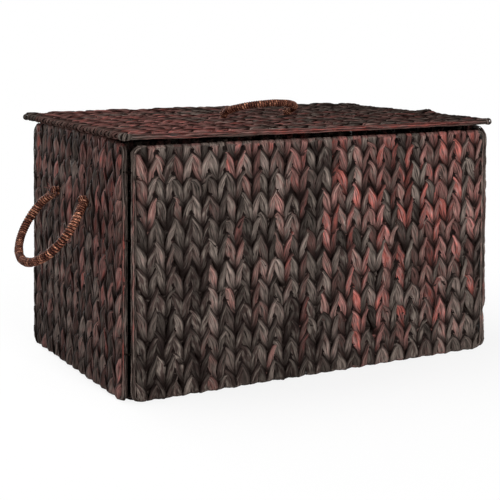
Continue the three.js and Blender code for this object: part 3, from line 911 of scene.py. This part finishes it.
def leaf_material(name, bump, gloss):
    """Dried leaf: a colour for each leaf, pale fibres along it that are partly painted sheen, and a darker
    fold line.

    Its edges and its foot are darkened towards the stain colour: partly a real dark stain, partly
    painted shade in the gaps between leaves and where a leaf's foot tucks under the row above. The
    fibres are dull to satin.
    """
    material, tree, shader = new_material(name)
    across, along = strand_uv(tree)
    tone = attribute(tree, "tone")
    shade = attribute(tree, "shade")
    seed = value_of(tree, "MULTIPLY_ADD", shade, FIBRE_SEEDS, across)
    inputs = {"Across": across, "Along": along, "Seed": seed}
    fibre = add_node(tree, "ShaderNodeGroup", inputs, node_tree=fibre_group()).outputs
    drift = value_of(tree, "MULTIPLY_ADD", fibre["Blotch"], 0.90, tone)
    colour = add_ramp(tree, value_of(tree, "SUBTRACT", drift, 0.45), leaf_stops())
    level = remap(tree, shade, 0.0, 1.0, 0.46, 1.75)
    # Pale fibre streaks: partly the leaf's own grain, partly painted sheen that stands for light glancing
    # off the fibres.
    fibre_and_sheen = remap(tree, fibre["Fibre"], 0.3, 0.7, 0.12, 2.15)
    edge = value_of(tree, "ABSOLUTE", across)
    fold = remap(tree, edge, 0.02, 0.16, 0.72, 1.0)
    light = value_of(tree, "MULTIPLY", value_of(tree, "MULTIPLY", level, fibre_and_sheen), fold)
    # Painted shade, partly a real stain: the colour goes to the stain colour at a leaf's edges, in the gaps,
    # and at its foot, where it tucks under the row above.
    inner = remap(tree, edge, 0.52, 0.98, 1.0, 0.03)
    bare = remap(tree, attribute(tree, "tip"), 0.06, 0.50, 0.03, 1.0)
    clear = value_of(tree, "MULTIPLY", inner, bare)
    inputs = {0: clear, 6: tuple(settings().colours.stain_and_shade) + (1.0,), 7: scaled(tree, colour, light)}
    stained_and_shaded = add_node(tree, "ShaderNodeMix", inputs, data_type="RGBA")
    height = value_of(tree, "ADD", fibre["Fibre"], fold)
    relief = add_node(tree, "ShaderNodeBump", {"Strength": bump, "Distance": LEAF_BUMP, "Height": height})
    set_inputs(tree, shader, {
        "Base Color": stained_and_shaded.outputs[2],
        "Roughness": remap(tree, fibre["Fibre"], 0.3, 0.7, 0.72, 0.48),
        "Specular IOR Level": gloss,
        "Normal": relief.outputs[0],
    })
    return material


def rope_stops():
    """Colours of the string, from its dark to its copper turns; the copper is partly painted highlight."""
    colours = settings().colours
    return [(0.39, colours.rope_dark), (0.56, colours.rope_red), (0.78, colours.rope_copper)]


def string_material(name, stops, turn_scale, gloss):
    """String wound round a rope: a colour for each turn, fine fibres across it, twisted plies, painted shade
    in the furrows between turns, and bright beads on the plies that are partly painted glints.
    """
    material, tree, shader = new_material(name)
    across, along = strand_uv(tree)
    coil = value_of(tree, "ADD", along, across)
    whole = value_of(tree, "FLOOR", coil)
    chance = add_node(tree, "ShaderNodeTexWhiteNoise", {"W": whole}, noise_dimensions="1D").outputs["Value"]
    inputs = {"Across": coil, "Along": across, "Seed": whole, "Across scale": 5.0, "Along scale": turn_scale}
    fibre = add_node(tree, "ShaderNodeGroup", inputs, node_tree=fibre_group()).outputs["Fibre"]
    mixed = value_of(tree, "MULTIPLY_ADD", chance, 0.2, fibre)
    colour = add_ramp(tree, value_of(tree, "SUBTRACT", mixed, 0.08), stops)
    part = value_of(tree, "FRACT", coil)
    # Painted shade: each turn darkens into the furrows beside it. The plies add dark lines and bright beads,
    # partly real twist and partly painted glints.
    furrow_shade = remap(tree, value_of(tree, "PINGPONG", part, 0.5), 0.04, 0.42, 0.03, 1.3)
    start = value_of(tree, "MULTIPLY_ADD", chance, 5.0, part)
    bead = value_of(tree, "MULTIPLY_ADD", across, 12.0, start)
    twist = remap(tree, value_of(tree, "PINGPONG", bead, 0.5), 0.0, 0.4, 0.25, 1.35)
    relief = add_node(tree, "ShaderNodeBump", {"Strength": 0.5, "Distance": STRING_BUMP, "Height": fibre})
    set_inputs(tree, shader, {
        "Base Color": scaled(tree, colour, value_of(tree, "MULTIPLY", furrow_shade, twist)),
        "Roughness": 0.6,
        "Specular IOR Level": gloss,
        "Normal": relief.outputs[0],
    })
    return material


def spline(points, count):
    """A smooth curve through points: cubic pieces with tangents from the neighbours, evenly spaced."""
    points = np.asarray(points, dtype=float)
    padded = np.concatenate([[2 * points[0] - points[1]], points, [2 * points[-1] - points[-2]]])
    t = np.linspace(0, len(points) - 1, SPLINE_STEPS * len(points))
    k = np.clip(np.floor(t).astype(int), 0, len(points) - 2)
    f = (t - k)[:, None]
    p0, p1, p2, p3 = (padded[k + i] for i in range(4))
    square = (2 * p0 - 5 * p1 + 4 * p2 - p3) * f ** 2
    cube = (3 * p1 - p0 - 3 * p2 + p3) * f ** 3
    fine = 0.5 * (2 * p1 + (p2 - p0) * f + square + cube)
    gone = np.concatenate([[0], np.cumsum(np.linalg.norm(np.diff(fine, axis=0), axis=1))])
    even = np.linspace(0, gone[-1], count)
    return np.stack([np.interp(even, gone, fine[:, a]) for a in range(3)], axis=1), even


def wound_grid(path, along, normal, radius, string, sides, closed):
    """Points of a tube wound with string, as (N, M, 3).

    The string is a helix that goes once round in its own width, so with c the distance along in
    string widths plus the turn round the tube, the radius is scaled by 1 - f + f * sqrt(1 - x^2),
    where f is the furrow's share and x goes from -1 to 1 in each turn of c.
    """
    coil = along[:, None] / string + np.arange(sides)[None, :] / sides
    hump = np.sqrt(np.clip(1 - (2 * (coil % 1) - 1) ** 2, 0, 1))
    profile = (1 - FURROW + FURROW * hump)[..., None] * oval(sides)
    girth = np.broadcast_to(radius, along.shape)[None]
    thick = np.broadcast_to(normal, path.shape)[None]
    return sweep(path[None], thick, girth, girth, profile, closed)[0]


def wound_mesh(name, grids, along, string, closed):
    """A mesh of equal tubes wound with string; the UV map counts turns round and along."""
    sides = grids.shape[2]
    uv_across = np.arange(sides + 1) / sides
    turns = np.broadcast_to(along / string, (len(grids), len(along)))
    return tube_mesh(name, grids, closed, uv_across, turns, {})


def wound_rope(name, points, normal, radius, string):
    """A rope through points, wound with string, its radius a little uneven."""
    length = spline(points, 2)[1][-1]
    path, along = spline(points, round(length / string) * ROPE_STEPS + 1)
    swell = 1 + ROPE_SWELL * smooth_noise(steady(name), (len(path),), steps=4 * ROPE_STEPS)
    grid = wound_grid(path, along, normal, radius * swell, string, ROPE_SIDES, False)
    return wound_mesh(name, grid[None], along, string, False)


def stopper_knots(name, nodes, string):
    """An overhand knot behind each hole, in the space of the CAD knots.

    The rope follows the trefoil (sin t + 2 sin 2t, cos t - 2 cos 2t, -sin 3t), scaled so that the
    knot is as wide as the CAD one, with its axis along the hole.
    """
    t = 2 * np.pi * np.arange(KNOT_STEPS + 1) / KNOT_STEPS
    x = np.sin(t) + 2 * np.sin(2 * t)
    y = np.cos(t) - 2 * np.cos(2 * t)
    curve = np.stack([x, y, -np.sin(3 * t)], axis=1)
    grids = []
    for node in nodes:
        low, high = node_box(node)
        axis = int(np.argmax(high - low))
        width = np.delete(high - low, axis).min()
        inner = -1.0 if axis == 2 else -np.sign((low + high)[axis])
        scale = np.full(3, (width / 2 - KNOT_RADIUS) / 3)
        scale[2] = KNOT_RADIUS
        local = np.roll(curve * scale, axis + 1, axis=1)
        middle = (low + high) / 2
        tip = high[axis] if inner > 0 else low[axis]
        middle[axis] = tip - inner * 2 * KNOT_RADIUS
        path = local[:-1] + middle
        gone = np.concatenate([[0], np.cumsum(np.linalg.norm(np.diff(local, axis=0), axis=1))])
        turns = round(gone[-1] / string)
        along = gone * turns * string / gone[-1]
        grids.append(wound_grid(path, along[:-1], local[:-1], KNOT_RADIUS, string, KNOT_SIDES, True))
    return wound_mesh(name, np.array(grids), along, string, True)


def whippings(name, feet, axis, radius):
    """A ball of wound string round each foot of a rope: the radius follows a circle."""
    offset = np.linspace(-WHIPPING_CUT, WHIPPING_CUT, WHIPPING_STEPS) * radius
    girth = np.sqrt(radius ** 2 - offset ** 2)
    normal = np.roll(axis, 1)
    along = offset + radius
    grids = []
    for foot in feet:
        path = foot + offset[:, None] * axis
        grids.append(wound_grid(path, along, normal, girth, WHIPPING_STRING, WHIPPING_SIDES, False))
    return wound_mesh(name, np.array(grids), along, WHIPPING_STRING, False)


def frayed_ends(name, foot, outward):
    """Loose ends of string at a foot: thin tubes that start on the whipping and curl away."""
    rng = steady(name)
    t = np.linspace(0, 1, FRAY_STEPS)[:, None]
    away = unit(rng.normal(size=(FRAY_COUNT, 1, 3)) * FRAY_SPREAD + outward)
    curl = rng.normal(size=(FRAY_COUNT, 1, 3)) * FRAY_CURL
    length = each(rng, *FRAY_LENGTH, FRAY_COUNT)
    path = foot + away * FRAY_START + length * (t * away + t ** 2 * curl)
    thick = np.broadcast_to(unit(np.cross(away, [0.3, 0.5, 0.8])), path.shape)
    widths = np.broadcast_to(FRAY_RADIUS * (1 - FRAY_TAPER * t[:, 0]), path.shape[:2])
    grid = sweep(path, thick, widths, widths, oval(FRAY_SIDES), False)
    uv_along = np.broadcast_to(t[:, 0], path.shape[:2])
    values = {
        "tone": each(rng, *FRAY_TONE, FRAY_COUNT),
        "shade": each(rng, *FRAY_SHADE, FRAY_COUNT),
        "tip": 1.0,
    }
    return tube_mesh(name, grid, False, leaf_across(FRAY_SIDES), uv_along, values)


def tie_loop(node, way, bend):
    """Middle line of a lashing round two rods: two half circles and the straight runs between."""
    low, high = node_box(node)
    way = unit(np.array(way, dtype=float))
    axis = int(np.argmax(np.abs(way)))
    half = ((high - low)[axis] - 2 * TIE_REACH) / abs(way[axis]) / 2
    turned = np.cross([0, 0, 1.0], way) if np.argmin(high - low) == 2 else np.array([0, 0, 1.0])
    angle = np.linspace(-np.pi / 2, np.pi / 2, TIE_STEPS)
    right = (half + bend * np.cos(angle))[:, None] * way + (bend * np.sin(angle))[:, None] * turned
    flat = np.concatenate([right, -right])
    return flat + (low + high) / 2, np.cross(way, turned)


def lashings(name):
    """Two turns of cord for each lashing, side by side, and the nodes that they stand for."""
    ties = []
    for corner, way in CORNER_TIES.items():
        ties += [(corner + "_tie_" + height, way, CORNER_TIE_BEND) for height in TIE_HEIGHTS]
    for edge, (way, spots) in BASE_TIES.items():
        ties += [(edge + "_tie_" + spot, way, BASE_TIE_BEND) for spot in spots]
    paths = []
    thicks = []
    for node, way, bend in ties:
        flat, normal = tie_loop(node, way, bend)
        for shift in (-CORD_APART, CORD_APART):
            paths.append(flat + shift * CORD_RADIUS * normal)
            thicks.append(np.broadcast_to(normal, flat.shape))
    path = np.array(paths)
    widths = np.full(path.shape[:2], CORD_RADIUS)
    grid = sweep(path, np.array(thicks), widths, widths, oval(CORD_SIDES), True)
    step = np.linalg.norm(np.roll(path, -1, axis=1) - path, axis=2)
    along = np.concatenate([np.zeros((len(path), 1)), np.cumsum(step, axis=1)], axis=1) / CORD_TWIST
    mesh = tube_mesh(name, grid, True, np.arange(CORD_SIDES + 1) / CORD_SIDES, along, {})
    return mesh, [node for node, way, bend in ties]


def corner_wraps(name, nodes):
    """A leaf strip wound round each bare corner of the lid's rod.

    The strip is a helix round a quarter bend with short straight ends, and lies flat on it. It is
    thickest at the middle of the bend, by half a sine wave.
    """
    rng = steady(name)
    lid_low, lid_high = node_box("lid_wire_frame")
    lid_middle = (lid_low + lid_high) / 2
    quarter = ROD_BEND * np.pi / 2
    gone = np.linspace(-WRAP_RUN, quarter + WRAP_RUN, WRAP_STEPS)
    turn = np.clip(gone / ROD_BEND, 0, np.pi / 2)
    before = np.minimum(gone, 0)
    after = np.maximum(gone - quarter, 0)
    flat = np.stack([ROD_BEND * np.cos(turn) - after, ROD_BEND * np.sin(turn) + before], axis=1)
    radius = WRAP_RADIUS + WRAP_BULGE * np.sin(np.linspace(0, np.pi, WRAP_STEPS))
    outer = np.stack([np.cos(turn), np.sin(turn)], axis=1)
    paths = []
    thicks = []
    for node in nodes:
        low, high = node_box(node)
        sign = np.sign(((low + high) / 2 - lid_middle)[:2])
        edge = np.where(sign > 0, lid_high[:2], lid_low[:2]) - sign * (WRAP_ROD + ROD_BEND)
        angle = 2 * np.pi * gone / WRAP_TURN + rng.uniform(0, 6)
        path, thick = round_rod(edge + flat * sign, outer * sign, angle, radius)
        paths.append(path + (0, 0, lid_middle[2]))
        thicks.append(thick)
    path = np.array(paths)
    widths = np.full(path.shape[:2], WRAP_HALF_WIDTH)
    heights = np.full(path.shape[:2], STRIP_HALF_THICKNESS)
    grid = sweep(path, np.array(thicks), widths, heights, oval(STRIP_SIDES), False)
    values = {
        "tone": each(rng, *WRAP_TONE, len(nodes)),
        "shade": each(rng, *WRAP_SHADE, len(nodes)),
        "tip": 1.0,
    }
    uv_along = np.broadcast_to(gone * WRAP_FIBRES, path.shape[:2])
    return tube_mesh(name, grid, False, leaf_across(STRIP_SIDES), uv_along, values)


def loop_points(half_width, reach, centre):
    """Points of a handle's ellipse from foot to foot, as (along the feet, away from them)."""
    start = -math.asin(centre / reach)
    angle = np.linspace(start, math.pi - start, LOOP_STEPS)
    return np.stack([half_width * np.cos(angle), centre + reach * np.sin(angle)], axis=1)


def handle_joint(name):
    """A joint of the frame by its name."""
    return next(joint for joint in FRAME["record"]["behaviour"]["joints"] if joint["name"] == name)


def aim(thing, right, up, back, spot):
    """Puts a camera or lamp at a spot, with its back the given way."""
    matrix = np.eye(4)
    matrix[:3] = np.stack([right, up, back, spot], axis=1)
    thing.matrix_world = matrix.T


class WOVENBOX_OT_stage(bpy.types.Operator):
    """Adds the camera, the lamps, the world and the floor"""

    bl_idname = "wovenbox.stage"
    bl_label = "Stage"

    def execute(self, context):
        scene = context.scene
        scene.view_settings.view_transform = "Standard"
        self.camera(scene)
        for name, (spot, target, size, power) in LAMPS.items():
            self.lamp(scene, name, np.array(spot), np.array(target), size, power)
        self.world(scene)
        self.floor(scene)
        return {"FINISHED"}

    def camera(self, scene):
        """A camera round the box's middle, from its angles, distance and shifts."""
        view = settings().view
        azimuth, pitch, roll = (math.radians(v) for v in (view.azimuth, view.pitch, view.roll))
        back = np.array([
            math.sin(azimuth) * math.cos(pitch), -math.cos(azimuth) * math.cos(pitch), math.sin(pitch)
        ])
        level = np.array([math.cos(azimuth), math.sin(azimuth), 0.0])
        rise = np.cross(back, level)
        right = level * math.cos(roll) + rise * math.sin(roll)
        up = rise * math.cos(roll) - level * math.sin(roll)
        spot = np.array([0, 0, view.middle]) + back * view.distance + right * view.aside + up * view.above
        data = bpy.data.cameras.new("camera")
        data.lens = view.lens
        data.sensor_width = 36.0
        data.sensor_fit = "HORIZONTAL"
        data.shift_y = view.shift
        camera = bpy.data.objects.new("camera", data)
        scene.collection.objects.link(camera)
        aim(camera, right, up, back, spot)
        scene.camera = camera

    def lamp(self, scene, name, spot, target, size, power):
        """A square soft lamp that looks at a point."""
        data = bpy.data.lights.new(name, "AREA")
        data.size = size
        data.energy = power
        lamp = bpy.data.objects.new(name, data)
        scene.collection.objects.link(lamp)
        back = unit(spot - target)
        right = unit(np.cross([0, 0, 1.0], back))
        aim(lamp, right, np.cross(back, right), back, spot)

    def world(self, scene):
        """White to the camera, dim to the object."""
        world = bpy.data.worlds.new("studio")
        world.use_nodes = True
        scene.world = world
        tree = world.node_tree
        path = add_node(tree, "ShaderNodeLightPath", {}).outputs
        seen = value_of(tree, "MAXIMUM", path["Is Camera Ray"], path["Is Glossy Ray"])
        seen = value_of(tree, "MAXIMUM", seen, path["Is Transmission Ray"])
        strength = remap(tree, seen, 0.0, 1.0, AMBIENCE, 1.0)
        set_inputs(tree, tree.nodes["Background"], {"Color": (1, 1, 1, 1), "Strength": strength})

    def floor(self, scene):
        """A wide white sheet under the box that keeps its shadow."""
        span = np.array([-FLOOR_HALF, FLOOR_HALF])
        x, y = np.meshgrid(span, span, indexing="xy")
        level = np.full(4, CAD_BOX[0][2] - FLOOR_DROP)
        points = np.stack([x.reshape(-1), y.reshape(-1), level], axis=1)
        mesh = bpy.data.meshes.new("floor")
        mesh.from_pydata(points.tolist(), [], [(0, 1, 3, 2)])
        material, tree, shader = new_material("white floor")
        set_inputs(tree, shader, {"Base Color": (0.92, 0.92, 0.92, 1), "Roughness": 0.9})
        path = add_node(tree, "ShaderNodeLightPath", {}).outputs
        spot = add_node(tree, "ShaderNodeTexCoord", {}).outputs["Object"]
        away = add_node(tree, "ShaderNodeVectorMath", {0: spot}, operation="LENGTH").outputs["Value"]
        white = remap(tree, away, 0.25, 0.75, 0.82, 1.0)
        seen = value_of(tree, "MULTIPLY", path["Is Camera Ray"], white)
        glow = add_node(tree, "ShaderNodeEmission", {"Color": (1, 1, 1, 1), "Strength": 1.0}).outputs[0]
        mixed = add_node(tree, "ShaderNodeMixShader", {0: seen, 1: shader.outputs[0], 2: glow})
        set_inputs(tree, tree.nodes["Material Output"], {"Surface": mixed.outputs[0]})
        mesh.materials.append(material)
        floor = bpy.data.objects.new("floor", mesh)
        scene.collection.objects.link(floor)


class WOVENBOX_OT_panels(bpy.types.Operator):
    """Adds the twined leaves of the six panels"""

    bl_idname = "wovenbox.panels"
    bl_label = "Twined panels"

    def execute(self, context):
        upright = leaf_material("dried leaf", bump=0.8, gloss=0.03)
        level = leaf_material("dull leaf", bump=0.8, gloss=0.0)
        for name in PANELS:
            material = upright if name in WALLS else level
            add_piece(twined_panel(name), material, "weave", body_of(name), name + "_weave")
        return {"FINISHED"}


class WOVENBOX_OT_edges(bpy.types.Operator):
    """Adds the strips along the side rods of the panels"""

    bl_idname = "wovenbox.edges"
    bl_label = "Edge strips"

    def execute(self, context):
        material = leaf_material("split leaf", bump=0.4, gloss=0.01)
        for name in PANELS:
            add_piece(edge_strips(name), material, "weave", body_of(name))
        return {"FINISHED"}


class WOVENBOX_OT_ropes(bpy.types.Operator):
    """Adds the three rope handles with their whippings and knots"""

    bl_idname = "wovenbox.ropes"
    bl_label = "Rope handles"

    def execute(self, context):
        string = string_material("wound string", rope_stops(), turn_scale=6.0, gloss=0.04)
        frayed = leaf_material("frayed string", bump=0.3, gloss=0.02)
        along_y = np.array([0, 1.0, 0])
        droop = math.radians(SIDE_DROOP)
        for name, sign in (("left", -1.0), ("right", 1.0)):
            away = np.array([sign * math.cos(droop), 0, -math.sin(droop)])
            inward = np.array([-sign, 0, 0])
            foot = self.handle(name, SIDE_HANDLE, string, along_y, away, inward, ("front", "back"))
            mesh = frayed_ends(name + "_frayed_ends", foot, -inward)
            add_piece(mesh, frayed, "rope", "box")
        along_x = np.array([1.0, 0, 0])
        lean = math.radians(LID_LEAN)
        away = np.array([0, -math.sin(lean), math.cos(lean)])
        down = np.array([0, 0, -1.0])
        self.handle("lid", LID_HANDLE, string, along_x, away, down, ("left", "right"))
        return {"FINISHED"}

    def handle(self, name, form, material, across, away, inward, ends):
        """One rope from hole to hole, bent at its feet, with its whippings and knots.

        Gives back the middle of its first foot.
        """
        pivot = np.array(handle_joint(name + "_handle_swing")["pos_m"])
        body = body_of(name)
        flat = loop_points(*form.loop)
        loop = pivot + flat[2:-2, :1] * across + flat[2:-2, 1:] * away
        feet = [pivot + flat[0, 0] * across, pivot + flat[-1, 0] * across]
        starts = [feet[0] + inward * form.depth, feet[0] + inward * form.depth / 3]
        tails = [feet[1] + inward * form.depth / 3, feet[1] + inward * form.depth]
        points = np.concatenate([starts, loop, tails])
        mesh = wound_rope(name + "_rope", points, np.cross(across, away), form.radius, form.string)
        piece = add_piece(mesh, material, "rope", None, name + "_handle_rope")
        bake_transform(piece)
        add_piece(whippings(name + "_whipping", feet, inward, form.whipping), material, "rope", body)
        nodes = [name + "_handle_knot_" + end for end in ends]
        add_piece(stopper_knots(name + "_knots", nodes, form.knot_string), material, "rope", body, *nodes)
        return feet[0]


class WOVENBOX_OT_lashings(bpy.types.Operator):
    """Adds the cord that holds the panels together"""

    bl_idname = "wovenbox.lashings"
    bl_label = "Lashings"

    def execute(self, context):
        colours = settings().colours
        stops = [(0.1, colours.cord_dark), (0.9, colours.cord_light)]
        material = string_material("lashing cord", stops, turn_scale=4.0, gloss=0.0)
        mesh, nodes = lashings("lashings")
        add_piece(mesh, material, "lashing", "box", *nodes)
        return {"FINISHED"}


class WOVENBOX_OT_wraps(bpy.types.Operator):
    """Adds the leaf wound round the lid's bare corners"""

    bl_idname = "wovenbox.wraps"
    bl_label = "Lid corner wraps"

    def execute(self, context):
        material = leaf_material("wound leaf", bump=0.4, gloss=0.01)
        nodes = ["lid_wrap_%s_%s" % (a, b) for a in ("front", "back") for b in ("left", "right")]
        add_piece(corner_wraps("lid_corner_wraps", nodes), material, "weave", "lid", *nodes)
        return {"FINISHED"}


class WOVENBOX_OT_wires(bpy.types.Operator):
    """Gives the wire frames their lacquer"""

    bl_idname = "wovenbox.wires"
    bl_label = "Wire frames"

    def execute(self, context):
        colours = settings().colours
        material, tree, shader = new_material("lacquered wire")
        spot = add_node(tree, "ShaderNodeTexCoord", {}).outputs["Object"]
        wear = add_node(tree, "ShaderNodeTexNoise", {"Vector": spot, "Scale": 60.0, "Detail": 4.0})
        colour = add_ramp(tree, wear.outputs["Fac"], [(0.45, colours.wire), (0.72, colours.rust)])
        set_inputs(tree, shader, {"Base Color": colour, "Roughness": 0.5})
        for name, node in FRAME["nodes"].items():
            if name.endswith("_wire_frame"):
                node.data.materials.clear()
                node.data.materials.append(material)
        return {"FINISHED"}


class WOVENBOX_PT_panel(bpy.types.Panel):
    """Lists the box's sizes and its pieces"""

    bl_idname = "WOVENBOX_PT_panel"
    bl_label = "Woven box"
    bl_space_type = "VIEW_3D"
    bl_region_type = "UI"
    bl_category = "Woven box"

    def draw(self, context):
        for group in (settings().weave, settings().colours, settings().view):
            column = self.layout.column(align=True)
            for key in group.bl_rna.properties.keys():
                if key not in ("rna_type", "name"):
                    column.prop(group, key)
        for operator in OPERATORS:
            self.layout.operator(operator.bl_idname)


OPERATORS = (
    WOVENBOX_OT_stage,
    WOVENBOX_OT_panels,
    WOVENBOX_OT_edges,
    WOVENBOX_OT_ropes,
    WOVENBOX_OT_lashings,
    WOVENBOX_OT_wraps,
    WOVENBOX_OT_wires,
)
CLASSES = (WovenBoxWeave, WovenBoxColours, WovenBoxView, WovenBoxSettings) + OPERATORS + (WOVENBOX_PT_panel,)


def register():
    """Registers the classes and the scene's settings."""
    for item in CLASSES:
        bpy.utils.register_class(item)
    bpy.types.Scene.woven_box = bpy.props.PointerProperty(type=WovenBoxSettings)


def unregister():
    """Takes the settings and the classes away again."""
    del bpy.types.Scene.woven_box
    for item in reversed(CLASSES):
        bpy.utils.unregister_class(item)


def main():
    """Makes every piece in order."""
    register()
    bpy.ops.wovenbox.stage()
    bpy.ops.wovenbox.panels()
    bpy.ops.wovenbox.edges()
    bpy.ops.wovenbox.ropes()
    bpy.ops.wovenbox.lashings()
    bpy.ops.wovenbox.wraps()
    bpy.ops.wovenbox.wires()


if __name__ == "__main__":
    main()
